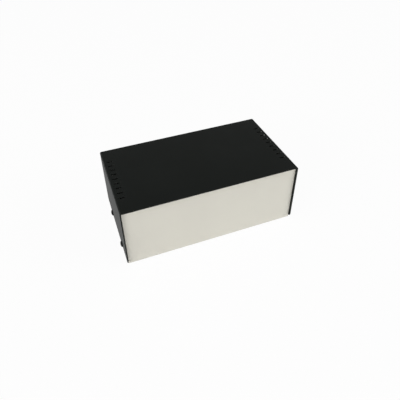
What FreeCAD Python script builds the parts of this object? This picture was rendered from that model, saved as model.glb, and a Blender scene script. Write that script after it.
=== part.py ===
import FreeCAD, Part
import math
import os
import re
import Sketcher
from FreeCAD import Placement, Rotation, Vector

# Metal project box. A folded chassis (front panel, floor and rear panel) stands under a
# folded cover (top and two sides), and four pan head screws low on the sides close it.
# X runs along the front panel, the front panel faces -Y, and the floor stands on Z = 0.

# Sizes in millimetres: the word that names a size, its value and what it measures.
SIZES = (
    ("box_length", 160, "over the cover's two sides"),
    ("box_depth", 88, "front edge to rear edge of the cover"),
    ("box_height", 62.2, "floor's underside to the cover's top"),
    ("sheet_thickness", 1.0, "both folded sheets"),
    ("bend_outside", 1.4, "outside radius of every bend"),
    ("bend_inside", 0.4, "inside radius of every bend"),
    ("cover_lift", 2.5, "cover's side edges above the table"),
    ("cover_corner", 2.5, "rounding of the sides' lower corners"),
    ("panel_setback", 1.9, "front and rear panels behind the cover's edges"),
    ("panel_play", 0.2, "from each end of a panel to the cover's side"),
    ("panel_corner", 1.0, "rounding of the panels' upper corners"),
    ("lip_height", 10, "upturned lips at the floor's ends, above the table"),
    ("lip_corner", 2.0, "rounding of the lips' upper corners"),
    ("relief_width", 1.8, "notch between a lip's end and the panel's bend"),
    ("relief_depth", 2.6, "how far a notch reaches in from the lip's face"),
    ("vent_count", 9, "slots in the row at each end of the top"),
    ("vent_pitch", 6.4, "from slot to slot along the row"),
    ("vent_length", 5.2, "end to end of a slot"),
    ("vent_width", 1.5, "width of a slot"),
    ("vent_inset", 3.2, "from the cover's side face to a slot's outer end"),
    ("screw_spacing", 42, "between the two screws of a side"),
    ("screw_rise", 3.5, "screw centres above the cover's side edges"),
    ("screw_shift", 2.0, "middle of a side's screws in front of the side's middle"),
    ("clearance_hole", 3.4, "diameter of the screw holes in the cover"),
    ("thread_hole", 3.0, "diameter of the screw holes in the lips"),
    ("collar_width", 4.8, "outside diameter of the drawn collars on the lips"),
    ("collar_height", 1.0, "collars' height above the lips' inner faces"),
    ("head_width", 5.6, "diameter of a screw's head"),
    ("head_height", 1.6, "height of a screw's head"),
    ("head_rim", 0.7, "height of the head's upright rim"),
    ("shank_width", 2.9, "diameter of a screw's shank"),
    ("shank_length", 6.0, "under the head to the shank's end"),
    ("end_width", 2.2, "diameter of the shank's bevelled end"),
    ("end_bevel", 0.4, "length of the bevel"),
    ("cross_span", 3.0, "tip to tip of the head's cross recess"),
    ("cross_width", 0.8, "width of the recess's arms"),
    ("cross_depth", 1.0, "depth of the recess below the head's crown"),
    ("cross_taper", 12, "lean of the recess's walls in degrees"),
)

# Where each screw sits and how far it happens to be turned when tight, in degrees.
SCREWS = (
    ("screw_left_front", -1, -1, 25),
    ("screw_left_rear", -1, 1, 70),
    ("screw_right_front", 1, -1, 52),
    ("screw_right_rear", 1, 1, 8),
)

# Places in a sketch: its origin point, its vertical axis, and the points of a curve.
ORIGIN_POINT = (-1, 1)
UPRIGHT_AXIS = -2
FIRST_END = 1
SECOND_END = 2
CENTRE = 3

# Two places count as the same below this distance.
SAME_PLACE = 0.001

QUARTER_TURN = 90
FULL_TURN = 360

document = FreeCAD.newDocument("metal_project_box")
sheet = document.addObject("Spreadsheet::Sheet", "Sizes")
for row, (word, number, note) in enumerate(SIZES, start=1):
    sheet.set(f"A{row}", note)
    sheet.set(f"B{row}", str(number))
    sheet.setAlias(f"B{row}", word)
document.recompute()


def rule(text):
    """Point every word of a formula at its cell in the sheet."""
    return re.sub(r"[a-z]\w*", lambda found: f"Sizes.{found.group()}", text)


def value(text):
    """Work out a formula with the sheet's present numbers."""
    return float(sheet.evalExpression(rule(text)))


def drive(thing, name, text):
    """Bind one property of an object to a formula."""
    thing.setExpression(name, rule(text))


def new_body(name):
    """Start a piece."""
    body = document.addObject("PartDesign::Body", name)
    body.Label = name
    return body


def origin_feature(body, role):
    """Find one of a body's own origin planes or axes."""
    return next(feature for feature in body.Origin.OriginFeatures if feature.Role == role)


def new_sketch(body, role, name, offset="0"):
    """Lay a sketch on an origin plane of its body, or at a distance in front of it."""
    sketch = body.newObject("Sketcher::SketchObject", name)
    sketch.AttachmentSupport = [(origin_feature(body, role), "")]
    sketch.MapMode = "FlatFace"
    drive(sketch, "AttachmentOffset.Base.z", offset)
    return sketch


def add_size(sketch, kind, *geometry, text):
    """Add a dimension that follows a formula."""
    number = sketch.addConstraint(Sketcher.Constraint(kind, *geometry, value(text)))
    drive(sketch, f"Constraints[{number}]", text)


def hold(sketch, curve, point, across, up):
    """Keep a point of a curve at its distances from the sketch's origin."""
    add_size(sketch, "DistanceX", *ORIGIN_POINT, curve, point, text=across)
    add_size(sketch, "DistanceY", *ORIGIN_POINT, curve, point, text=up)


def join(sketch, first, second):
    """Make one curve start where another ends."""
    sketch.addConstraint(Sketcher.Constraint("Coincident", first, SECOND_END, second, FIRST_END))


def draw_outline(sketch, corners):
    """Draw a closed outline of straight lines through corners given as formulas."""
    points = [Vector(value(across), value(up), 0) for across, up in corners]
    first = sketch.GeometryCount
    for start, end in zip(points, points[1:] + points[:1]):
        sketch.addGeometry(Part.LineSegment(start, end), False)
    last = sketch.GeometryCount - 1
    for line in range(first, last):
        join(sketch, line, line + 1)
    join(sketch, last, first)
    for line, (across, up) in zip(range(first, last + 1), corners):
        hold(sketch, line, FIRST_END, across, up)


def draw_rectangle(sketch, left, right, bottom, top):
    """Draw a rectangle between four formulas."""
    draw_outline(sketch, ((left, bottom), (right, bottom), (right, top), (left, top)))


def draw_circle(sketch, across, up, diameter):
    """Draw a circle around a centre given as formulas."""
    centre = Vector(value(across), value(up), 0)
    circle = sketch.addGeometry(Part.Circle(centre, Vector(0, 0, 1), value(diameter) / 2), False)
    hold(sketch, circle, CENTRE, across, up)
    add_size(sketch, "Diameter", circle, text=diameter)


def draw_slot(sketch, left, right, up, width):
    """Draw a slot with round ends between two formulas."""
    radius = f"({width}) / 2"
    centres = (f"{left} + {radius}", f"{right} - {radius}")
    left_centre, right_centre = (Vector(value(across), value(up), 0) for across in centres)
    reach = Vector(0, value(radius), 0)
    quarter = math.pi / 2
    arcs = []
    for centre, begin in ((left_centre, quarter), (right_centre, -quarter)):
        circle = Part.Circle(centre, Vector(0, 0, 1), reach.Length)
        arcs.append(sketch.addGeometry(Part.ArcOfCircle(circle, begin, begin + math.pi), False))
    lower = sketch.addGeometry(Part.LineSegment(left_centre - reach, right_centre - reach), False)
    upper = sketch.addGeometry(Part.LineSegment(right_centre + reach, left_centre + reach), False)
    loop = (arcs[0], lower, arcs[1], upper)
    for curve, following in zip(loop, loop[1:] + loop[:1]):
        sketch.addConstraint(Sketcher.Constraint("Tangent", curve, SECOND_END, following, FIRST_END))
    for arc, across in zip(arcs, centres):
        hold(sketch, arc, CENTRE, across, up)
        add_size(sketch, "Radius", arc, text=radius)


def pad_both_ways(body, sketch, name, length):
    """Thicken a profile evenly to both sides of its plane."""
    pad = body.newObject("PartDesign::Pad", name)
    pad.Profile = sketch
    pad.SideType = "Symmetric"
    drive(pad, "Length", length)
    document.recompute()
    return pad


def check_cut(feature, before):
    """Stop if a cut took nothing away."""
    if feature.Shape.Volume > before - SAME_PLACE:
        raise RuntimeError(f"{feature.Name} cuts nothing")


def cut_through(body, sketch, name, side, away=False):
    """Cut a sketch's shape through the whole piece, to one side of its plane or both."""
    before = body.Tip.Shape.Volume
    pocket = body.newObject("PartDesign::Pocket", name)
    pocket.Profile = sketch
    pocket.Type = "ThroughAll"
    pocket.SideType = side
    pocket.Reversed = away
    document.recompute()
    check_cut(pocket, before)
    return pocket


def round_edges(body, name, radius, **place):
    """Round the edges whose middles lie at given distances from the middle planes and table."""
    base = body.Tip
    wanted = {axis: value(text) for axis, text in place.items()}
    chosen = []
    for number, edge in enumerate(base.Shape.Edges, start=1):
        middle = edge.CenterOfMass
        gaps = (abs(abs(getattr(middle, axis)) - distance) for axis, distance in wanted.items())
        if max(gaps) < SAME_PLACE:
            chosen.append(f"Edge{number}")
    fillet = body.newObject("PartDesign::Fillet", name)
    fillet.Base = (base, chosen)
    drive(fillet, "Radius", radius)
    document.recompute()
    return fillet


def draw_screw_circles(sketch, diameter):
    """Draw a circle at each of a side's two screws."""
    for side in ("-", ""):
        draw_circle(sketch, f"{side}screw_spacing / 2 - screw_shift", "cover_lift + screw_rise", diameter)


def make_cover():
    """Fold the cover: top and two sides, with a row of vent slots at each end of the top."""
    body = new_body("cover")
    outside = "box_length / 2"
    inside = "box_length / 2 - sheet_thickness"

    profile = new_sketch(body, "XZ_Plane", "cover_profile")
    draw_outline(profile, (
        (f"-({outside})", "cover_lift"),
        (f"-({outside})", "box_height"),
        (outside, "box_height"),
        (outside, "cover_lift"),
        (inside, "cover_lift"),
        (inside, "box_height - sheet_thickness"),
        (f"-({inside})", "box_height - sheet_thickness"),
        (f"-({inside})", "cover_lift"),
    ))
    pad_both_ways(body, profile, "cover_sheet", "box_depth")
    round_edges(body, "cover_bends_outside", "bend_outside", x=outside, z="box_height")
    round_edges(body, "cover_bends_inside", "bend_inside", x=inside, z="box_height - sheet_thickness")
    round_edges(body, "cover_corners", "cover_corner", y="box_depth / 2", z="cover_lift")

    # The first slot of both rows, then the rows along the cover's depth.
    slots = new_sketch(body, "XY_Plane", "vent_slots")
    first_slot = "-(vent_count - 1) * vent_pitch / 2"
    near_side = "box_length / 2 - vent_inset"
    far_side = "box_length / 2 - vent_inset - vent_length"
    draw_slot(slots, f"-({near_side})", f"-({far_side})", first_slot, "vent_width")
    draw_slot(slots, far_side, near_side, first_slot, "vent_width")
    first_vents = cut_through(body, slots, "first_vents", "One side", away=True)
    rows = body.newObject("PartDesign::LinearPattern", "vent_rows")
    rows.Originals = [first_vents]
    rows.Direction = (origin_feature(body, "Y_Axis"), [""])
    rows.Mode = "Spacing"
    drive(rows, "Offset", "vent_pitch")
    drive(rows, "Occurrences", "vent_count")
    body.Tip = rows
    document.recompute()
    check_cut(rows, first_vents.Shape.Volume)

    holes = new_sketch(body, "YZ_Plane", "cover_screw_circles")
    draw_screw_circles(holes, "clearance_hole")
    cut_through(body, holes, "cover_screw_holes", "Symmetric")
    return body


def make_chassis():
    """Fold the chassis: front panel, floor, rear panel, and a lip at each end of the floor."""
    body = new_body("chassis")
    face = "box_depth / 2 - panel_setback"
    back = "box_depth / 2 - panel_setback - sheet_thickness"
    crown = "box_height - sheet_thickness"
    panel_end = "box_length / 2 - sheet_thickness - panel_play"
    lip_face = "box_length / 2 - sheet_thickness"
    lip_back = "box_length / 2 - 2 * sheet_thickness"
    lip_end = "box_depth / 2 - panel_setback - bend_outside - relief_width"

    profile = new_sketch(body, "YZ_Plane", "chassis_profile")
    draw_outline(profile, (
        (f"-({face})", crown),
        (f"-({face})", "0"),
        (face, "0"),
        (face, crown),
        (back, crown),
        (back, "sheet_thickness"),
        (f"-({back})", "sheet_thickness"),
        (f"-({back})", crown),
    ))
    pad_both_ways(body, profile, "chassis_sheet", f"2 * ({panel_end})")
    round_edges(body, "chassis_bends_outside", "bend_outside", y=face, z="0")
    round_edges(body, "chassis_bends_inside", "bend_inside", y=back, z="sheet_thickness")
    round_edges(body, "panel_corners", "panel_corner", x=panel_end, z=crown)

    # The lips rise from the floor's ends and touch the cover's sides.
    lips = new_sketch(body, "XZ_Plane", "lip_profiles")
    root = f"{lip_face} - relief_depth"
    for side in ("", "-"):
        draw_outline(lips, (
            (f"{side}({root})", "0"),
            (f"{side}({lip_face})", "0"),
            (f"{side}({lip_face})", "lip_height"),
            (f"{side}({lip_back})", "lip_height"),
            (f"{side}({lip_back})", "sheet_thickness"),
            (f"{side}({root})", "sheet_thickness"),
        ))
    pad_both_ways(body, lips, "lips", f"2 * ({lip_end})")

    # Relief notches let the lips and the panels bend without tearing at the corners.
    notches = new_sketch(body, "XY_Plane", "relief_notches")
    for across in ("", "-"):
        for along in ("", "-"):
            draw_rectangle(
                notches,
                f"{across}({root})",
                f"{across}({lip_face} + relief_depth)",
                f"{along}({lip_end})",
                f"{along}({lip_end} + relief_width)",
            )
    cut_through(body, notches, "reliefs", "One side", away=True)
    round_edges(body, "lip_bends_outside", "bend_outside", x=lip_face, z="0")
    round_edges(body, "lip_bends_inside", "bend_inside", x=lip_back, z="sheet_thickness")
    round_edges(body, "lip_corners", "lip_corner", y=lip_end, z="lip_height")

    # The screws hold in threaded collars drawn out of the lips towards the inside.
    rings = new_sketch(body, "YZ_Plane", "collar_circles", lip_back)
    draw_screw_circles(rings, "collar_width")
    collars = body.newObject("PartDesign::Pad", "collars")
    collars.Profile = rings
    collars.Reversed = True
    drive(collars, "Length", "collar_height")
    document.recompute()
    mirrored = body.newObject("PartDesign::Mirrored", "collars_mirrored")
    mirrored.Originals = [collars]
    mirrored.MirrorPlane = (origin_feature(body, "YZ_Plane"), [""])
    body.Tip = mirrored
    document.recompute()
    holes = new_sketch(body, "YZ_Plane", "lip_screw_circles")
    draw_screw_circles(holes, "thread_hole")
    cut_through(body, holes, "lip_screw_holes", "Symmetric")
    return body


def make_screw(name, side, end, turn):
    """Turn a pan head screw about its own Z axis, cut its recess and put it in its hole."""
    body = new_body(name)

    # Half of the screw's section, from the head's crown round by the shank's end.
    half = new_sketch(body, "XZ_Plane", f"{name}_section")
    corners = (
        ("0", "head_height"),
        ("0", "-shank_length"),
        ("end_width / 2", "-shank_length"),
        ("shank_width / 2", "-(shank_length - end_bevel)"),
        ("shank_width / 2", "0"),
        ("head_width / 2", "0"),
        ("head_width / 2", "head_rim"),
    )
    points = [Vector(value(across), value(up), 0) for across, up in corners]
    for start, finish in zip(points, points[1:]):
        half.addGeometry(Part.LineSegment(start, finish), False)
    lines = half.GeometryCount
    for line in range(lines - 1):
        join(half, line, line + 1)
    for line, (across, up) in enumerate(corners[:-1]):
        hold(half, line, FIRST_END, across, up)
    hold(half, lines - 1, SECOND_END, *corners[-1])
    rise = value("head_height - head_rim")
    radius = (value("head_width / 2") ** 2 + rise ** 2) / (2 * rise)
    centre = Vector(0, value("head_height") - radius, 0)
    begin = math.atan2(value("head_rim") - centre.y, value("head_width / 2"))
    circle = Part.Circle(centre, Vector(0, 0, 1), radius)
    dome = half.addGeometry(Part.ArcOfCircle(circle, begin, math.pi / 2), False)
    half.addConstraint(Sketcher.Constraint("Coincident", lines - 1, SECOND_END, dome, FIRST_END))
    half.addConstraint(Sketcher.Constraint("Coincident", dome, SECOND_END, 0, FIRST_END))
    half.addConstraint(Sketcher.Constraint("PointOnObject", dome, CENTRE, UPRIGHT_AXIS))
    turned = body.newObject("PartDesign::Revolution", f"{name}_turned")
    turned.Profile = half
    turned.ReferenceAxis = (half, ["V_Axis"])
    turned.Angle = FULL_TURN
    document.recompute()

    # The cross recess, sunk from the crown with leaning walls.
    cross = new_sketch(body, "XY_Plane", f"{name}_cross", "head_height")
    long_reach = "cross_span / 2"
    short_reach = "cross_width / 2"
    quadrants = (("", ""), ("-", ""), ("-", "-"), ("", "-"))
    outline = []
    for number, (across, up) in enumerate(quadrants):
        arm = [
            (f"{across}({long_reach})", f"{up}({short_reach})"),
            (f"{across}({short_reach})", f"{up}({short_reach})"),
            (f"{across}({short_reach})", f"{up}({long_reach})"),
        ]
        outline += arm if number % 2 == 0 else arm[::-1]
    draw_outline(cross, outline)
    before = body.Tip.Shape.Volume
    recess = body.newObject("PartDesign::Pocket", f"{name}_recess")
    recess.Profile = cross
    drive(recess, "Length", "cross_depth")
    drive(recess, "TaperAngle", "-cross_taper")
    document.recompute()
    check_cut(recess, before)

    tightened = Rotation(Vector(0, 0, 1), turn)
    body.Placement = Placement(Vector(), Rotation(Vector(0, 1, 0), side * QUARTER_TURN) * tightened)
    drive(body, "Placement.Base.x", f"{side} * box_length / 2")
    drive(body, "Placement.Base.y", f"{end} * screw_spacing / 2 - screw_shift")
    drive(body, "Placement.Base.z", "cover_lift + screw_rise")
    return body


def check(pieces):
    """Stop if any object failed or any piece is not one sound solid."""
    for thing in document.Objects:
        if {"Invalid", "Error"} & set(thing.State):
            raise RuntimeError(f"{thing.Name} failed: {thing.State}")
    for piece in pieces:
        shape = piece.Shape
        sound = not shape.isNull() and shape.isValid() and shape.Volume > 0
        if not sound or len(shape.Solids) != 1:
            raise RuntimeError(f"{piece.Label} is not one valid solid")


pieces = [make_cover(), make_chassis()]
pieces += [make_screw(*screw) for screw in SCREWS]
document.recompute()
check(pieces)
os.makedirs("parts", exist_ok=True)
for piece in pieces:
    piece.Shape.exportStep(f"parts/{piece.Label}.step")
    box = piece.Shape.BoundBox
    print(piece.Label, round(piece.Shape.Volume, 1), [round(edge, 2) for edge in (
        box.XMin, box.XMax, box.YMin, box.YMax, box.ZMin, box.ZMax)])
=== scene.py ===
import math

import bmesh
import bpy
from mathutils import Matrix, Vector
from mathutils.geometry import delaunay_2d_cdt


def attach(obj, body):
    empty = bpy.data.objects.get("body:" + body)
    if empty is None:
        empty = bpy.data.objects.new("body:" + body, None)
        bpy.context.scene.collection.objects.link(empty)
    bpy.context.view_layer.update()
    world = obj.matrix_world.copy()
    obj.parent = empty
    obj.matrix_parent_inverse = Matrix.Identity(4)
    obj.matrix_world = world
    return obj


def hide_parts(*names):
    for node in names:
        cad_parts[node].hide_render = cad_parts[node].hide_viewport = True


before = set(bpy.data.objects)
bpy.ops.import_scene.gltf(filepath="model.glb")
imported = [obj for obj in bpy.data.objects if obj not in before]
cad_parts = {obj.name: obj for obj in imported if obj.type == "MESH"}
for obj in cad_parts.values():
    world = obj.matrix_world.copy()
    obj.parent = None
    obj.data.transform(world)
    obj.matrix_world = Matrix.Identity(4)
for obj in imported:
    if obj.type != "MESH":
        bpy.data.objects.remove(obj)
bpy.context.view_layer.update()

MM = 0.001

# Sizes in millimetres, the same as the solid model's.
LENGTH = 160.0
DEPTH = 88.0
HEIGHT = 62.2
SHEET = 1.0
BEND = 1.4
COVER_LIFT = 2.5
COVER_CORNER = 2.5
PANEL_SETBACK = 1.9
PANEL_PLAY = 0.2
PANEL_CORNER = 1.0
LIP_HEIGHT = 10.0
LIP_CORNER = 2.0
RELIEF_WIDTH = 1.8
RELIEF_DEPTH = 2.6
RELIEF_CORNER = 0.4
VENT_COUNT = 9
VENT_PITCH = 6.4
VENT_LENGTH = 5.2
VENT_WIDTH = 1.5
VENT_INSET = 3.2
SCREW_SPACING = 42.0
SCREW_SHIFT = 2.0
SCREW_RISE = 3.5
CLEARANCE_HOLE = 3.4
THREAD_HOLE = 3.0
COLLAR_WIDTH = 4.8
COLLAR_HEIGHT = 1.0
HEAD_WIDTH = 5.6
HEAD_HEIGHT = 1.6
HEAD_RIM = 0.7
SHANK_WIDTH = 2.9
SHANK_LENGTH = 6.0
CROSS_SPAN = 3.0
CROSS_WIDTH = 0.8
CROSS_DEPTH = 1.0

# The thread in the shank: its start below the head, and how far from the tip it fades out.
THREAD_START = -1.0
THREAD_PITCH = 0.5
THREAD_DEPTH = 0.24
THREAD_FADE = 0.4

# The soft round that the paint leaves on a cut edge.
EDGE_ROUND = 0.2

# The view: azimuth, elevation and roll in degrees, then the camera's place in its own
# directions: to the right, up and back from the object's origin, in millimetres.
VIEW_ANGLES = (-19.404, 36.268, -1.313)
VIEW_PLACE = (-4.92, 58.255, 408.623)

# Where each screw sits: side, end, and how far it is turned in degrees.
SCREWS = {
    "screw_left_front": (-1, -1, 25),
    "screw_left_rear": (-1, 1, 70),
    "screw_right_front": (1, -1, 52),
    "screw_right_rear": (1, 1, 8),
}

SCREW_HEIGHT = COVER_LIFT + SCREW_RISE
SCREW_PLACES = (-SCREW_SPACING / 2 - SCREW_SHIFT, SCREW_SPACING / 2 - SCREW_SHIFT)
BEND_RUN = BEND * math.pi / 2

# The sheets' mesh: lines through a bend, and the widest spacing of the lines elsewhere.
BEND_STEPS = 12
WIDE_STEP = 9.0
COVER_ROW_STEP = 7.0
FLOOR_ROW_STEP = 8.0
LIP_STEP = 3.0

# How far the mesh lines stay from a bend and from the sheets' ends.
BEND_GAP = 0.6
COVER_SIDE_GAP = 3.5
COVER_FRONT_GAP = 3.0
LIP_GAP = 2.5
PANEL_GAP = 1.5

# From the cover's bend to the mesh line just inside the slots.
VENT_STRIP = 10.0

# The least distance of a mesh point from an outline, and the shortest piece of an outline.
POINT_GAP = 0.12
LEAST_PIECE = 1.25 * EDGE_ROUND

# The least cosine that a corner's mitre is divided by, so that it stays short.
MITRE_LIMIT = 0.5

# Lengths below these count as nothing, in millimetres.
TINY = 0.01
SAME_LINE = 0.001
SAME_POINT = 0.00001

# How worn the rounded borders of a cut edge are beside its middle.
ROUND_WEAR = 0.8

# The screws' mesh: steps round it and down the shank.
SCREW_STEPS = 48
SHANK_STEPS = 88

# Edges turned by more than these angles are softened, fully worn and shaded sharp.
SOFTENED_ANGLE = math.radians(38)
WORN_ANGLE = math.radians(40)
SHARP_ANGLE = math.radians(50)


# Shader helpers

def new_material(name):
    """A material with one surface shader, ready for its textures."""
    made = bpy.data.materials.new(name)
    made.use_nodes = True
    tree = made.node_tree
    tree.nodes.clear()
    output = tree.nodes.new("ShaderNodeOutputMaterial")
    shader = tree.nodes.new("ShaderNodeBsdfPrincipled")
    tree.links.new(shader.outputs["BSDF"], output.inputs["Surface"])
    return made, tree, shader


def plug(tree, socket, given):
    """Link an output to a socket, or write a value into it."""
    if isinstance(given, bpy.types.NodeSocket):
        tree.links.new(given, socket)
    else:
        socket.default_value = given


def add_node(tree, kind, inputs=None, **settings):
    """Add a node, set its options and fill its inputs by name or number."""
    made = tree.nodes.new(kind)
    for key, setting in settings.items():
        setattr(made, key, setting)
    for key, given in (inputs or {}).items():
        plug(tree, made.inputs[key], given)
    return made


def noise(tree, where, scale, detail=3.0, rough=0.55):
    """Soft noise whose features are about 1 / scale metres wide."""
    inputs = {"Vector": where, "Scale": scale, "Detail": detail, "Roughness": rough}
    return add_node(tree, "ShaderNodeTexNoise", inputs).outputs["Fac"]


def ramp(tree, given, low, high, out_low=0.0, out_high=1.0):
    """Carry one range smoothly over to another."""
    inputs = {
        "Value": given,
        "From Min": low,
        "From Max": high,
        "To Min": out_low,
        "To Max": out_high,
    }
    made = add_node(tree, "ShaderNodeMapRange", inputs, interpolation_type="SMOOTHSTEP")
    return made.outputs["Result"]


def times(tree, first, second):
    """Multiply two values."""
    return add_node(tree, "ShaderNodeMath", {0: first, 1: second}, operation="MULTIPLY").outputs[0]


def plus(tree, first, second):
    """Add two values."""
    return add_node(tree, "ShaderNodeMath", {0: first, 1: second}, operation="ADD").outputs[0]


def blend(tree, factor, first, second):
    """Mix two colours."""
    return add_node(tree, "ShaderNodeMix", {0: factor, 6: first, 7: second}, data_type="RGBA").outputs[2]


def bump(tree, height, depth, under=None):
    """Raise the surface by a height texture, on top of another bump."""
    made = add_node(tree, "ShaderNodeBump", {"Height": height, "Distance": depth})
    if under is not None:
        tree.links.new(under, made.inputs["Normal"])
    return made.outputs["Normal"]


def worn_edges(tree, where, low, high):
    """How worn a place is: the rounded cut edges, broken up by noise."""
    edge = add_node(tree, "ShaderNodeAttribute", attribute_name="edge").outputs["Fac"]
    patches = ramp(tree, noise(tree, where, 420.0, 4.0, 0.65), low, high)
    return times(tree, edge, patches)


def painted_slot_end_highlights(tree, where):
    """Painted highlights: light specks on the right slots' outer end walls, most behind the middle."""
    end = add_node(tree, "ShaderNodeAttribute", attribute_name="end").outputs["Fac"]
    place = add_node(tree, "ShaderNodeSeparateXYZ", {"Vector": where})
    underside = HEIGHT - SHEET
    on_top = ramp(tree, place.outputs["Z"], (underside - 0.6) * MM, (underside - 0.2) * MM)
    behind = ramp(tree, place.outputs["Y"], -1 * MM, 6 * MM, 0.22, 1.0)
    before = ramp(tree, place.outputs["Y"], 20 * MM, 25 * MM, 1.0, 0.2)
    patches = ramp(tree, noise(tree, where, 130.0, 2.0), 0.26, 0.42)
    slot_end = LENGTH / 2 - VENT_INSET
    outer = ramp(tree, place.outputs["X"], (slot_end - 1.8) * MM, (slot_end - 0.8) * MM)
    walls = times(tree, times(tree, ramp(tree, end, 0.5, 0.85), on_top), outer)
    return times(tree, walls, times(tree, times(tree, behind, before), patches))


# Materials

def cover_paint():
    """Satin black paint: fine orange peel, slight sheen changes, rubbed edges, and painted highlights at
    the right slots' outer ends.
    """
    made, tree, shader = new_material("cover_satin_black")
    where = add_node(tree, "ShaderNodeTexCoord").outputs["Object"]
    clouds = ramp(tree, noise(tree, where, 22.0, 3.0), 0.3, 0.7)
    coat = blend(tree, clouds, (0.0108, 0.0126, 0.0112, 1), (0.0120, 0.0140, 0.0126, 1))
    dust = ramp(tree, noise(tree, where, 2600.0, 2.0), 0.66, 0.78, 0.0, 0.22)
    dusty = blend(tree, dust, coat, (0.032, 0.034, 0.031, 1))
    wear = worn_edges(tree, where, 0.5, 0.68)
    worn = blend(tree, wear, dusty, (0.05, 0.05, 0.046, 1))
    # Painted highlights: a light grey on the right slots' outer end walls, standing for light caught
    # there.
    slot_highlighted = blend(tree, painted_slot_end_highlights(tree, where), worn, (0.42, 0.42, 0.4, 1))
    plug(tree, shader.inputs["Base Color"], slot_highlighted)
    sheen = ramp(tree, noise(tree, where, 60.0, 4.0), 0.3, 0.7, 0.48, 0.52)
    grain = ramp(tree, noise(tree, where, 1500.0, 2.0), 0.3, 0.7, -0.02, 0.02)
    plug(tree, shader.inputs["Roughness"], plus(tree, sheen, grain))
    shader.inputs["Specular IOR Level"].default_value = 0.08
    peel = bump(tree, noise(tree, where, 1100.0, 1.0), 0.012 * MM)
    fine = bump(tree, noise(tree, where, 4200.0, 2.0), 0.003 * MM, peel)
    plug(tree, shader.inputs["Normal"], fine)
    return made


def chassis_paint():
    """Off-white enamel: faint orange peel, slow tone changes, greyed edges."""
    made, tree, shader = new_material("chassis_off_white")
    where = add_node(tree, "ShaderNodeTexCoord").outputs["Object"]
    clouds = ramp(tree, noise(tree, where, 18.0, 3.0), 0.3, 0.7)
    coat = blend(tree, clouds, (0.655, 0.635, 0.565, 1), (0.675, 0.658, 0.583, 1))
    specks = ramp(tree, noise(tree, where, 1900.0, 2.0), 0.7, 0.82, 0.0, 0.12)
    speckled = blend(tree, specks, coat, (0.52, 0.5, 0.44, 1))
    wear = worn_edges(tree, where, 0.45, 0.7)
    plug(tree, shader.inputs["Base Color"], blend(tree, wear, speckled, (0.47, 0.45, 0.4, 1)))
    sheen = ramp(tree, noise(tree, where, 45.0, 4.0), 0.3, 0.7, 0.33, 0.4)
    plug(tree, shader.inputs["Roughness"], sheen)
    shader.inputs["Specular IOR Level"].default_value = 0.5
    peel = bump(tree, noise(tree, where, 800.0, 1.0), 0.01 * MM)
    fine = bump(tree, noise(tree, where, 3600.0, 2.0), 0.002 * MM, peel)
    plug(tree, shader.inputs["Normal"], fine)
    return made


def screw_finish():
    """Black plated steel: semi-gloss, with brighter rubbed edges."""
    made, tree, shader = new_material("screw_black")
    where = add_node(tree, "ShaderNodeTexCoord").outputs["Object"]
    clouds = ramp(tree, noise(tree, where, 500.0, 3.0), 0.3, 0.7)
    coat = blend(tree, clouds, (0.006, 0.006, 0.0065, 1), (0.010, 0.010, 0.0105, 1))
    wear = worn_edges(tree, where, 0.48, 0.7)
    plug(tree, shader.inputs["Base Color"], blend(tree, wear, coat, (0.07, 0.068, 0.065, 1)))
    plug(tree, shader.inputs["Metallic"], times(tree, wear, 0.6))
    sheen = ramp(tree, noise(tree, where, 900.0, 4.0), 0.3, 0.7, 0.46, 0.58)
    plug(tree, shader.inputs["Roughness"], sheen)
    shader.inputs["Specular IOR Level"].default_value = 0.1
    rough = bump(tree, noise(tree, where, 3000.0, 3.0), 0.004 * MM)
    plug(tree, shader.inputs["Normal"], rough)
    return made


# Flat patterns: closed outlines that have the sheet on their left

def arc_points(centre, radius, begin, end, steps):
    """Points along an arc, both ends among them."""
    points = []
    for step in range(steps + 1):
        angle = begin + (end - begin) * step / steps
        points.append(centre + radius * Vector((math.cos(angle), math.sin(angle))))
    return points


def rounded_outline(corners, steps=6):
    """An outline through corners, each given as across, along and its rounding."""
    places = [Vector(corner[:2]) for corner in corners]
    points = []
    for number, (place, corner) in enumerate(zip(places, corners)):
        radius = corner[2]
        if radius == 0:
            points.append(place)
            continue
        arriving = (place - places[number - 1]).normalized()
        leaving = (places[(number + 1) % len(places)] - place).normalized()
        turn = 1 if arriving.cross(leaving) > 0 else -1
        start = place - arriving * radius
        centre = start + Vector((-arriving.y, arriving.x)) * radius * turn
        begin = math.atan2(start.y - centre.y, start.x - centre.x)
        points += arc_points(centre, radius, begin, begin + turn * math.pi / 2, steps)
    return points


def hole_outline(across, along, diameter, steps=40):
    """A round hole, drawn clockwise."""
    points = arc_points(Vector((across, along)), diameter / 2, 0, -2 * math.pi, steps)
    return points[:-1]


def slot_outline(left, right, along, width, steps=10):
    """A slot with round ends, drawn clockwise."""
    radius = width / 2
    quarter = math.pi / 2
    points = arc_points(Vector((left + radius, along)), radius, -quarter, -3 * quarter, steps)
    points += arc_points(Vector((right - radius, along)), radius, quarter, -quarter, steps)
    return points


def split_outline(outline, columns, rows):
    """Add points where an outline's straight runs cross the lattice's lines."""
    points = []
    for start, end in zip(outline, outline[1:] + outline[:1]):
        points.append(start)
        run = end - start
        stops = []
        for axis, levels in ((0, columns), (1, rows)):
            if abs(run[axis]) < TINY:
                continue
            stops += [(level - start[axis]) / run[axis] for level in levels]
        shortest = LEAST_PIECE / run.length
        points += [start + run * stop for stop in sorted(stops) if shortest < stop < 1 - shortest]
    return points


def sideways(outline):
    """The direction away from the sheet at every point, long enough for a mitred corner."""
    away = []
    for number, point in enumerate(outline):
        before = (point - outline[number - 1]).normalized()
        after = (outline[(number + 1) % len(outline)] - point).normalized()
        first = Vector((before.y, -before.x))
        second = Vector((after.y, -after.x))
        middle = (first + second).normalized()
        away.append(middle / max(MITRE_LIMIT, middle.dot(first)))
    return away


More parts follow.
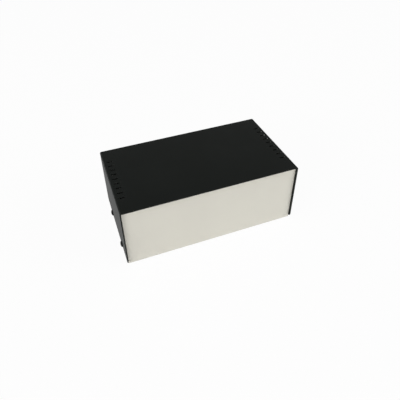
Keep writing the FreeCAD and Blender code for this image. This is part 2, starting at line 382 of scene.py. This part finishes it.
def inside(point, outline):
    """Whether a point lies within an outline."""
    found = False
    for start, end in zip(outline, outline[1:] + outline[:1]):
        if (start.y > point.y) != (end.y > point.y):
            crossing = start.x + (point.y - start.y) * (end.x - start.x) / (end.y - start.y)
            if crossing > point.x:
                found = not found
    return found


def far_from(point, outlines, least):
    """Whether a point keeps a distance from every outline."""
    return all((point - other).length > least for outline in outlines for other in outline)


def lattice_levels(stops, step):
    """Levels from stop to stop, evenly spaced and no further apart than a step."""
    levels = [stops[0]]
    for start, end in zip(stops, stops[1:]):
        parts = max(1, math.ceil((end - start) / step))
        levels += [start + (end - start) * part / parts for part in range(1, parts + 1)]
    return levels


def mirrored_levels(levels):
    """The same levels to both sides of the middle."""
    return sorted({-level for level in levels} | set(levels))


def bend_levels(start):
    """Levels through a bend, from its start."""
    return [start + BEND_RUN * step / BEND_STEPS for step in range(BEND_STEPS + 1)]


def bend_borders(points, axis, levels, within):
    """Borders along a bend's lines, so that no face cuts across the bend."""
    borders = []
    for level in levels:
        on_line = []
        for number, point in enumerate(points):
            if abs(point[axis] - level) < SAME_LINE:
                on_line.append((point[1 - axis], number))
        on_line.sort()
        for (_, first), (_, second) in zip(on_line, on_line[1:]):
            if within((points[first] + points[second]) / 2):
                borders.append((first, second))
    return borders


# Folded sheets

def fold_about(distance, start, depth):
    """Follow a bend: how far out, how far up, and the angle reached."""
    angle = min(max(distance - start, 0) / BEND, math.pi / 2)
    radius = BEND - depth
    out = min(distance, start) + radius * math.sin(angle)
    up = BEND - radius * math.cos(angle) + max(distance - start - BEND_RUN, 0)
    return out, up, angle


def fold_cover(across, along, depth):
    """Carry a place on the cover's flat pattern to its place on the folded cover."""
    side = -1 if across < 0 else 1
    out, down, angle = fold_about(abs(across), LENGTH / 2 - BEND, depth)
    place = Vector((side * out, along, HEIGHT - down))
    along_pattern = Vector((math.cos(angle), 0, -side * math.sin(angle)))
    outward = Vector((side * math.sin(angle), 0, math.cos(angle)))
    return place, along_pattern, Vector((0, 1, 0)), outward


PANEL_BEND = DEPTH / 2 - PANEL_SETBACK - BEND
LIP_BEND = LENGTH / 2 - SHEET - BEND
LIP_END = PANEL_BEND - RELIEF_WIDTH


def fold_chassis(across, along, depth):
    """Carry a place on the chassis's flat pattern to its place on the folded chassis."""
    if abs(along) > PANEL_BEND - TINY:
        side = -1 if along < 0 else 1
        out, up, angle = fold_about(abs(along), PANEL_BEND, depth)
        place = Vector((across, side * out, up))
        up_pattern = Vector((0, math.cos(angle), side * math.sin(angle)))
        outward = Vector((0, side * math.sin(angle), -math.cos(angle)))
        return place, Vector((1, 0, 0)), up_pattern, outward
    side = -1 if across < 0 else 1
    out, up, angle = fold_about(abs(across), LIP_BEND, depth)
    place = Vector((side * out, along, up))
    along_pattern = Vector((math.cos(angle), 0, side * math.sin(angle)))
    outward = Vector((side * math.sin(angle), 0, -math.cos(angle)))
    return place, along_pattern, Vector((0, 1, 0)), outward


class Folded:
    """A folded sheet under way: its places, their directions, its faces and its worn edges."""

    def __init__(self, fold):
        self.fold = fold
        self.places = []
        self.directions = []
        self.edges = []
        self.ends = []
        self.faces = []

    def add(self, flat, depth, away, lean, edge):
        """Add one place: away is its direction off the sheet, lean how far it faces outward."""
        place, across, along, outward = self.fold(flat.x, flat.y, depth)
        side = (across * away.x + along * away.y).normalized() if away.length else Vector()
        self.places.append(place)
        self.directions.append((side * math.sqrt(1 - lean * lean) + outward * lean).normalized())
        self.edges.append(edge)
        self.ends.append(edge * abs(away.x))
        return len(self.places) - 1

    def add_sheet(self, outlines, columns, rows, bend_columns, bend_rows):
        """Mesh both faces of the flat pattern and round the cut edges between them."""
        outlines = [split_outline(outline, columns, rows) for outline in outlines]
        aways = [sideways(outline) for outline in outlines]
        cores = []
        for outline, away in zip(outlines, aways):
            cores.append([
                point - direction * EDGE_ROUND
                for point, direction in zip(outline, away)
            ])
        flat = [point for core in cores for point in core]
        borders = []
        first = 0
        for core in cores:
            for step in range(len(core)):
                borders.append((first + step, first + (step + 1) % len(core)))
            first += len(core)

        def within(point):
            """Whether a point of the pattern lies on the sheet."""
            return inside(point, cores[0]) and not any(inside(point, core) for core in cores[1:])

        for across in columns:
            for along in rows:
                point = Vector((across, along))
                if within(point) and far_from(point, cores, POINT_GAP):
                    flat.append(point)
        borders += bend_borders(flat, 0, bend_columns, within)
        borders += bend_borders(flat, 1, bend_rows, within)
        points, _, triangles, sources, _, _ = delaunay_2d_cdt(flat, borders, [], 0, SAME_POINT)
        kept = []
        for triangle in triangles:
            middle = sum((points[corner] for corner in triangle), Vector((0, 0))) / 3
            if within(middle):
                kept.append(triangle)
        still = Vector((0, 0))
        outer = [self.add(point, 0, still, 1, 0) for point in points]
        inner = [self.add(point, SHEET, still, -1, 0) for point in points]
        self.faces += [[outer[corner] for corner in triangle] for triangle in kept]
        self.faces += [[inner[corner] for corner in reversed(triangle)] for triangle in kept]
        found = {source: number for number, group in enumerate(sources) for source in group}
        first = 0
        for outline, away in zip(outlines, aways):
            at = [found[first + step] for step in range(len(outline))]
            self.add_rim(outline, away, at, outer, inner)
            first += len(outline)

    def add_rim(self, outline, away, at, outer, inner):
        """Close one outline from the outer face round to the inner one."""
        half = math.sqrt(0.5)
        dip = EDGE_ROUND * (1 - half)
        rings = [[outer[number] for number in at]]
        profile = (
            (dip, dip, half, ROUND_WEAR),
            (0, EDGE_ROUND, 0, 1),
            (0, SHEET - EDGE_ROUND, 0, 1),
            (dip, SHEET - dip, -half, ROUND_WEAR),
        )
        for inset, depth, lean, edge in profile:
            ring = []
            for point, direction in zip(outline, away):
                ring.append(self.add(point - direction * inset, depth, direction, lean, edge))
            rings.append(ring)
        rings.append([inner[number] for number in at])
        count = len(outline)
        for upper, lower in zip(rings, rings[1:]):
            for step in range(count):
                following = (step + 1) % count
                self.faces.append([upper[step], lower[step], lower[following], upper[following]])

    def add_ring(self, centre, axis, profile, steps=40):
        """Turn a closed profile of distance from the axis and height about an axis along X."""
        rings = []
        for number, (radius, height) in enumerate(profile):
            before = profile[number - 1]
            after = profile[(number + 1) % len(profile)]
            run = Vector((after[0] - before[0], after[1] - before[1])).normalized()
            ring = []
            for step in range(steps):
                angle = 2 * math.pi * step / steps
                round_way = Vector((0, math.cos(angle), math.sin(angle)))
                self.places.append(centre + round_way * radius + axis * height)
                self.directions.append((round_way * run.y - axis * run.x).normalized())
                self.edges.append(0)
                self.ends.append(0)
                ring.append(len(self.places) - 1)
            rings.append(ring)
        for lower, upper in zip(rings, rings[1:] + rings[:1]):
            for step in range(steps):
                following = (step + 1) % steps
                self.faces.append([lower[step], lower[following], upper[following], upper[step]])

    def finish(self, name, material):
        """Make the object, with the directions as its shading normals."""
        mesh = bpy.data.meshes.new(name)
        mesh.from_pydata([place * MM for place in self.places], [], self.faces)
        for mark, values in (("edge", self.edges), ("end", self.ends)):
            mesh.attributes.new(mark, "FLOAT", "POINT")
            mesh.attributes[mark].data.foreach_set("value", values)
        work = bmesh.new()
        work.from_mesh(mesh)
        bmesh.ops.recalc_face_normals(work, faces=work.faces)
        work.to_mesh(mesh)
        work.free()
        for polygon in mesh.polygons:
            polygon.use_smooth = True
        mesh.normals_split_custom_set_from_vertices(self.directions)
        mesh.materials.append(material)
        piece = bpy.data.objects.new(name, mesh)
        bpy.context.scene.collection.objects.link(piece)
        return piece


def make_cover(material):
    """The cover: top and two sides from one sheet, with its vents and screw holes."""
    bend_start = LENGTH / 2 - BEND
    side_end = bend_start + BEND_RUN + HEIGHT - BEND - COVER_LIFT
    half = DEPTH / 2
    outline = rounded_outline((
        (-side_end, -half, COVER_CORNER),
        (side_end, -half, COVER_CORNER),
        (side_end, half, COVER_CORNER),
        (-side_end, half, COVER_CORNER),
    ))
    outlines = [outline]
    for side in (-1, 1):
        outer_end = LENGTH / 2 - VENT_INSET
        ends = sorted((side * outer_end, side * (outer_end - VENT_LENGTH)))
        for number in range(VENT_COUNT):
            along = (number - (VENT_COUNT - 1) / 2) * VENT_PITCH
            outlines.append(slot_outline(*ends, along, VENT_WIDTH))
        hole = side * (bend_start + BEND_RUN + HEIGHT - BEND - SCREW_HEIGHT)
        for along in SCREW_PLACES:
            outlines.append(hole_outline(hole, along, CLEARANCE_HOLE))
    flat_stops = [0, bend_start - VENT_STRIP, bend_start - BEND_GAP]
    flat_levels = lattice_levels(flat_stops, WIDE_STEP)
    side_stops = [bend_start + BEND_RUN + BEND_GAP, side_end - COVER_SIDE_GAP]
    side_levels = lattice_levels(side_stops, WIDE_STEP)
    bends = mirrored_levels(bend_levels(bend_start))
    columns = mirrored_levels(flat_levels + bends + side_levels)
    rows = mirrored_levels(lattice_levels([0, half - COVER_FRONT_GAP], COVER_ROW_STEP))
    folded = Folded(fold_cover)
    folded.add_sheet(outlines, columns, rows, bends, [])
    return folded.finish("cover_folded", material)


def make_chassis(material):
    """The chassis: panels, floor and lips from one sheet, with the drawn collars."""
    panel_end = LENGTH / 2 - SHEET - PANEL_PLAY
    panel_top = PANEL_BEND + BEND_RUN + HEIGHT - SHEET - BEND
    lip_top = LIP_BEND + BEND_RUN + LIP_HEIGHT - BEND
    root = LENGTH / 2 - SHEET - RELIEF_DEPTH
    quarter = (
        (lip_top, LIP_END, LIP_CORNER),
        (root, LIP_END, RELIEF_CORNER),
        (root, PANEL_BEND, RELIEF_CORNER),
        (panel_end, PANEL_BEND, 0),
        (panel_end, panel_top, PANEL_CORNER),
    )
    corners = list(quarter)
    corners += [(-across, along, rounding) for across, along, rounding in reversed(quarter)]
    corners += [(-across, -along, rounding) for across, along, rounding in quarter]
    corners += [(across, -along, rounding) for across, along, rounding in reversed(quarter)]
    outlines = [rounded_outline(corners)]
    for side in (-1, 1):
        hole = side * (LIP_BEND + BEND_RUN + SCREW_HEIGHT - BEND)
        for along in SCREW_PLACES:
            outlines.append(hole_outline(hole, along, THREAD_HOLE))
    floor_levels = lattice_levels([0, LIP_BEND - BEND_GAP], WIDE_STEP)
    lip_stops = [LIP_BEND + BEND_RUN + BEND_GAP, lip_top - LIP_GAP]
    lip_levels = lattice_levels(lip_stops, LIP_STEP)
    lip_bends = mirrored_levels(bend_levels(LIP_BEND))
    columns = mirrored_levels(floor_levels + lip_bends + lip_levels)
    floor_rows = lattice_levels([0, PANEL_BEND - BEND_GAP], FLOOR_ROW_STEP)
    panel_stops = [PANEL_BEND + BEND_RUN + BEND_GAP, panel_top - PANEL_GAP]
    panel_levels = lattice_levels(panel_stops, WIDE_STEP)
    panel_bends = mirrored_levels(bend_levels(PANEL_BEND))
    rows = mirrored_levels(floor_rows + panel_bends + panel_levels)
    folded = Folded(fold_chassis)
    folded.add_sheet(outlines, columns, rows, lip_bends, panel_bends)

    # The collars' profile: out from the bore, over the rounded mouth and down a soft root.
    bore = THREAD_HOLE / 2
    wall = COLLAR_WIDTH / 2
    profile = (
        (bore, -0.15),
        (bore, COLLAR_HEIGHT - 0.2),
        (bore + 0.06, COLLAR_HEIGHT - 0.06),
        (bore + 0.2, COLLAR_HEIGHT),
        (wall - 0.3, COLLAR_HEIGHT),
        (wall - 0.09, COLLAR_HEIGHT - 0.09),
        (wall, COLLAR_HEIGHT - 0.3),
        (wall, 0.25),
        (wall + 0.07, 0.07),
        (wall + 0.25, -0.02),
        (wall + 0.1, -0.15),
    )
    for side in (-1, 1):
        for along in SCREW_PLACES:
            centre = Vector((side * (LENGTH / 2 - 2 * SHEET), along, SCREW_HEIGHT))
            folded.add_ring(centre, Vector((-side, 0, 0)), profile)
    return folded.finish("chassis_folded", material)


# Screws

def head_profile():
    """The head's outline, from the crown to the edge of its underside."""
    rise = HEAD_HEIGHT - HEAD_RIM
    reach = HEAD_WIDTH / 2
    corner = 0.18
    crown_steps = 11
    radius = (reach ** 2 + rise ** 2) / (2 * rise)
    points = []
    for step in range(crown_steps + 1):
        out = (reach - corner) * step / crown_steps
        points.append((out, HEAD_HEIGHT - radius + math.sqrt(radius ** 2 - out ** 2)))
    points += [
        (reach - 0.06, HEAD_RIM - 0.05),
        (reach, HEAD_RIM - 0.22),
        (reach, 0.12),
        (reach - 0.12, 0),
    ]
    return points


def threaded_radius(radius, height, share):
    """The radius at a height of the shank, share of a turn round, with the thread cut in."""
    if height >= THREAD_START:
        return radius
    down = (THREAD_START - height) / THREAD_PITCH
    fade = min(1, down, (height + SHANK_LENGTH) / THREAD_FADE)
    return radius - THREAD_DEPTH * max(0, fade) * abs(2 * ((down + share) % 1) - 1)


def turned_mesh(profile, steps):
    """Turn a profile about the upright axis and run a thread down the shank."""
    work = bmesh.new()
    crown = work.verts.new((0, 0, profile[0][1]))
    rings = []
    for radius, height in profile[1:]:
        ring = []
        for step in range(steps):
            angle = 2 * math.pi * step / steps
            out = threaded_radius(radius, height, step / steps)
            ring.append(work.verts.new((out * math.cos(angle), out * math.sin(angle), height)))
        rings.append(ring)
    for step in range(steps):
        work.faces.new((crown, rings[0][step], rings[0][(step + 1) % steps]))
    for upper, lower in zip(rings, rings[1:]):
        for step in range(steps):
            following = (step + 1) % steps
            work.faces.new((upper[step], lower[step], lower[following], upper[following]))
    work.faces.new(rings[-1])
    bmesh.ops.recalc_face_normals(work, faces=work.faces)
    mesh = bpy.data.meshes.new("turned")
    work.to_mesh(mesh)
    work.free()
    return mesh


def cross_mesh():
    """The driver's shape: a rounded cross that narrows to a blunt point."""
    span = CROSS_SPAN / 2
    width = CROSS_WIDTH / 2
    arm = ((span, -width, 0.2), (span, width, 0.2), (width, width, 0.16))
    corners = []
    for number in range(4):
        turn = Matrix.Rotation(number * math.pi / 2, 2)
        for across, along, rounding in arm:
            place = turn @ Vector((across, along))
            corners.append((place.x, place.y, rounding))
    outline = rounded_outline(corners, 4)
    levels = (
        (HEAD_HEIGHT + 0.5, 1.12),
        (HEAD_HEIGHT, 1.0),
        (HEAD_HEIGHT - 0.6 * CROSS_DEPTH, 0.78),
        (HEAD_HEIGHT - 0.9 * CROSS_DEPTH, 0.5),
        (HEAD_HEIGHT - CROSS_DEPTH, 0.2),
    )
    work = bmesh.new()
    rings = []
    for height, share in levels:
        rings.append([work.verts.new((*(point * share), height)) for point in outline])
    work.faces.new(rings[0])
    work.faces.new(list(reversed(rings[-1])))
    count = len(outline)
    for upper, lower in zip(rings, rings[1:]):
        for step in range(count):
            following = (step + 1) % count
            work.faces.new((upper[step], lower[step], lower[following], upper[following]))
    bmesh.ops.recalc_face_normals(work, faces=work.faces)
    mesh = bpy.data.meshes.new("cross")
    work.to_mesh(mesh)
    work.free()
    return mesh


def evaluated_mesh(piece):
    """The mesh that an object's modifiers give."""
    graph = bpy.context.evaluated_depsgraph_get()
    return bpy.data.meshes.new_from_object(piece.evaluated_get(graph))


def screw_mesh(material):
    """One screw, head up, in metres: recess cut, its edges softened and marked as worn."""
    shank = SHANK_WIDTH / 2
    fillet = 0.1
    tip = 0.4
    straight = SHANK_LENGTH - fillet - tip
    profile = head_profile() + [(shank + fillet, 0), (shank, -fillet)]
    for step in range(1, SHANK_STEPS + 1):
        profile.append((shank, -fillet - straight * step / SHANK_STEPS))
    profile += [(shank - 0.3, -SHANK_LENGTH + 0.05), (shank - tip, -SHANK_LENGTH)]
    body = bpy.data.objects.new("screw_body", turned_mesh(profile, SCREW_STEPS))
    cutter = bpy.data.objects.new("screw_cutter", cross_mesh())
    for thing in (body, cutter):
        bpy.context.scene.collection.objects.link(thing)
    cut = body.modifiers.new("recess", "BOOLEAN")
    cut.operation = "DIFFERENCE"
    cut.solver = "EXACT"
    cut.object = cutter
    bpy.context.view_layer.update()
    soft = body.modifiers.new("soft_edges", "BEVEL")
    soft.width = 0.05
    soft.segments = 2
    soft.limit_method = "ANGLE"
    soft.angle_limit = SOFTENED_ANGLE
    mesh = evaluated_mesh(body)
    for thing in (body, cutter):
        bpy.data.objects.remove(thing)
    worn = mesh.attributes.new("edge", "FLOAT", "POINT")
    sharpness = [0.0] * len(mesh.vertices)
    work = bmesh.new()
    work.from_mesh(mesh)
    work.verts.ensure_lookup_table()
    for edge in work.edges:
        if len(edge.link_faces) == 2 and edge.is_convex and min(v.co.z for v in edge.verts) > 0:
            angle = edge.calc_face_angle(0)
            for vertex in edge.verts:
                sharpness[vertex.index] = max(sharpness[vertex.index], min(1, angle / WORN_ANGLE))
    work.free()
    worn.data.foreach_set("value", sharpness)
    mesh.transform(Matrix.Scale(MM, 4))
    for polygon in mesh.polygons:
        polygon.use_smooth = True
    mesh.set_sharp_from_angle(angle=SHARP_ANGLE)
    mesh.materials.clear()
    mesh.materials.append(material)
    return mesh


def place_screw(name, mesh):
    """Put one screw into its hole, head outward."""
    side, end, turn = SCREWS[name]
    piece = bpy.data.objects.new(f"{name}_piece", mesh.copy())
    along = SCREW_PLACES[0] if end < 0 else SCREW_PLACES[1]
    place = Matrix.Translation(Vector((side * LENGTH / 2, along, SCREW_HEIGHT)) * MM)
    tipped = Matrix.Rotation(side * math.pi / 2, 4, "Y")
    turned = Matrix.Rotation(math.radians(turn), 4, "Z")
    piece.data.transform(place @ (tipped @ turned))
    bpy.context.scene.collection.objects.link(piece)
    return piece


def dress(piece, node):
    """Let a piece stand for its node of the solid model."""
    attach(piece, "root")
    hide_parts(node)


black = cover_paint()
cream = chassis_paint()
plated = screw_finish()
dress(make_cover(black), "cover")
dress(make_chassis(cream), "chassis")
one_screw = screw_mesh(plated)
for name in SCREWS:
    dress(place_screw(name, one_screw), name)


# Floor, lamps and world

def make_floor():
    """A wide white floor that shows as white and keeps a faint shadow."""
    size = 3.0
    whiteness = 0.95
    mesh = bpy.data.meshes.new("floor")
    level = -0.05 * MM
    corners = [(size * x, size * y, level) for x, y in ((-1, -1), (1, -1), (1, 1), (-1, 1))]
    mesh.from_pydata(corners, [], [(0, 1, 2, 3)])
    floor = bpy.data.objects.new("floor", mesh)
    bpy.context.scene.collection.objects.link(floor)
    made = bpy.data.materials.new("floor_white")
    made.use_nodes = True
    tree = made.node_tree
    tree.nodes.clear()
    output = tree.nodes.new("ShaderNodeOutputMaterial")
    lit = add_node(tree, "ShaderNodeBsdfDiffuse", {"Color": (0.93, 0.93, 0.93, 1)})
    plain = add_node(tree, "ShaderNodeEmission", {"Color": (1, 1, 1, 1), "Strength": 1.0})
    path = add_node(tree, "ShaderNodeLightPath")
    seen = path.outputs["Is Camera Ray"]
    for ray in ("Is Glossy Ray", "Is Transmission Ray"):
        inputs = {0: seen, 1: path.outputs[ray]}
        seen = add_node(tree, "ShaderNodeMath", inputs, operation="MAXIMUM").outputs[0]
    share = times(tree, seen, whiteness)
    inputs = {0: share, 1: lit.outputs[0], 2: plain.outputs[0]}
    mixed = add_node(tree, "ShaderNodeMixShader", inputs)
    tree.links.new(mixed.outputs[0], output.inputs["Surface"])
    mesh.materials.append(made)


def make_world():
    """A pale room, brighter near the horizon than overhead."""
    world = bpy.data.worlds.new("studio")
    bpy.context.scene.world = world
    world.use_nodes = True
    tree = world.node_tree
    tree.nodes.clear()
    output = tree.nodes.new("ShaderNodeOutputWorld")
    where = add_node(tree, "ShaderNodeTexCoord").outputs["Generated"]
    up = add_node(tree, "ShaderNodeSeparateXYZ", {"Vector": where}).outputs["Z"]
    level = ramp(tree, up, 0.05, 0.8, 1.03, 0.0)
    around = add_node(tree, "ShaderNodeBackground", {"Color": (1, 1, 1, 1), "Strength": level})
    tree.links.new(around.outputs[0], output.inputs["Surface"])


def softbox(name, place, width, height, power):
    """A soft rectangular lamp turned to the object."""
    lamp = bpy.data.lights.new(name, "AREA")
    lamp.shape = "RECTANGLE"
    lamp.size = width
    lamp.size_y = height
    lamp.energy = power
    made = bpy.data.objects.new(name, lamp)
    bpy.context.scene.collection.objects.link(made)
    made.location = place
    aim = Vector((0, 0, 0.03)) - Vector(place)
    made.rotation_euler = aim.to_track_quat("-Z", "Y").to_euler()


make_floor()
make_world()
softbox("left", (-2.1, -0.75, 0.8), 1.5, 1.4, 30.5)
softbox("right", (1.6, -1.0, 0.9), 1.0, 1.0, 13.5)
softbox("top", (0.0, -0.35, 1.5), 1.0, 1.0, 5.0)
softbox("rear", (-1.3, 1.8, 0.45), 1.0, 0.7, 3.0)


def make_camera():
    """The photograph's view: placed by its angles, with the frame's offset as shift."""
    azimuth, elevation, roll = (math.radians(angle) for angle in VIEW_ANGLES)
    to_right, upward, backward = VIEW_PLACE
    back = Vector((
        math.sin(azimuth) * math.cos(elevation),
        -math.cos(azimuth) * math.cos(elevation),
        math.sin(elevation),
    ))
    level_right = Vector((math.cos(azimuth), math.sin(azimuth), 0))
    level_up = back.cross(level_right)
    right = level_right * math.cos(roll) + level_up * math.sin(roll)
    up = level_up * math.cos(roll) - level_right * math.sin(roll)
    place = (right * to_right + up * upward + back * backward) * MM
    data = bpy.data.cameras.new("camera")
    data.sensor_width = 36.0
    data.lens = 36.7811
    data.shift_x = 0.02062
    data.shift_y = -0.12348
    data.clip_start = 0.01
    data.clip_end = 20.0
    camera = bpy.data.objects.new("camera", data)
    bpy.context.scene.collection.objects.link(camera)
    turned = Matrix((right, up, back)).transposed().to_4x4()
    camera.matrix_world = Matrix.Translation(place) @ turned
    bpy.context.scene.camera = camera


make_camera()
bpy.context.scene.view_settings.view_transform = "Standard"
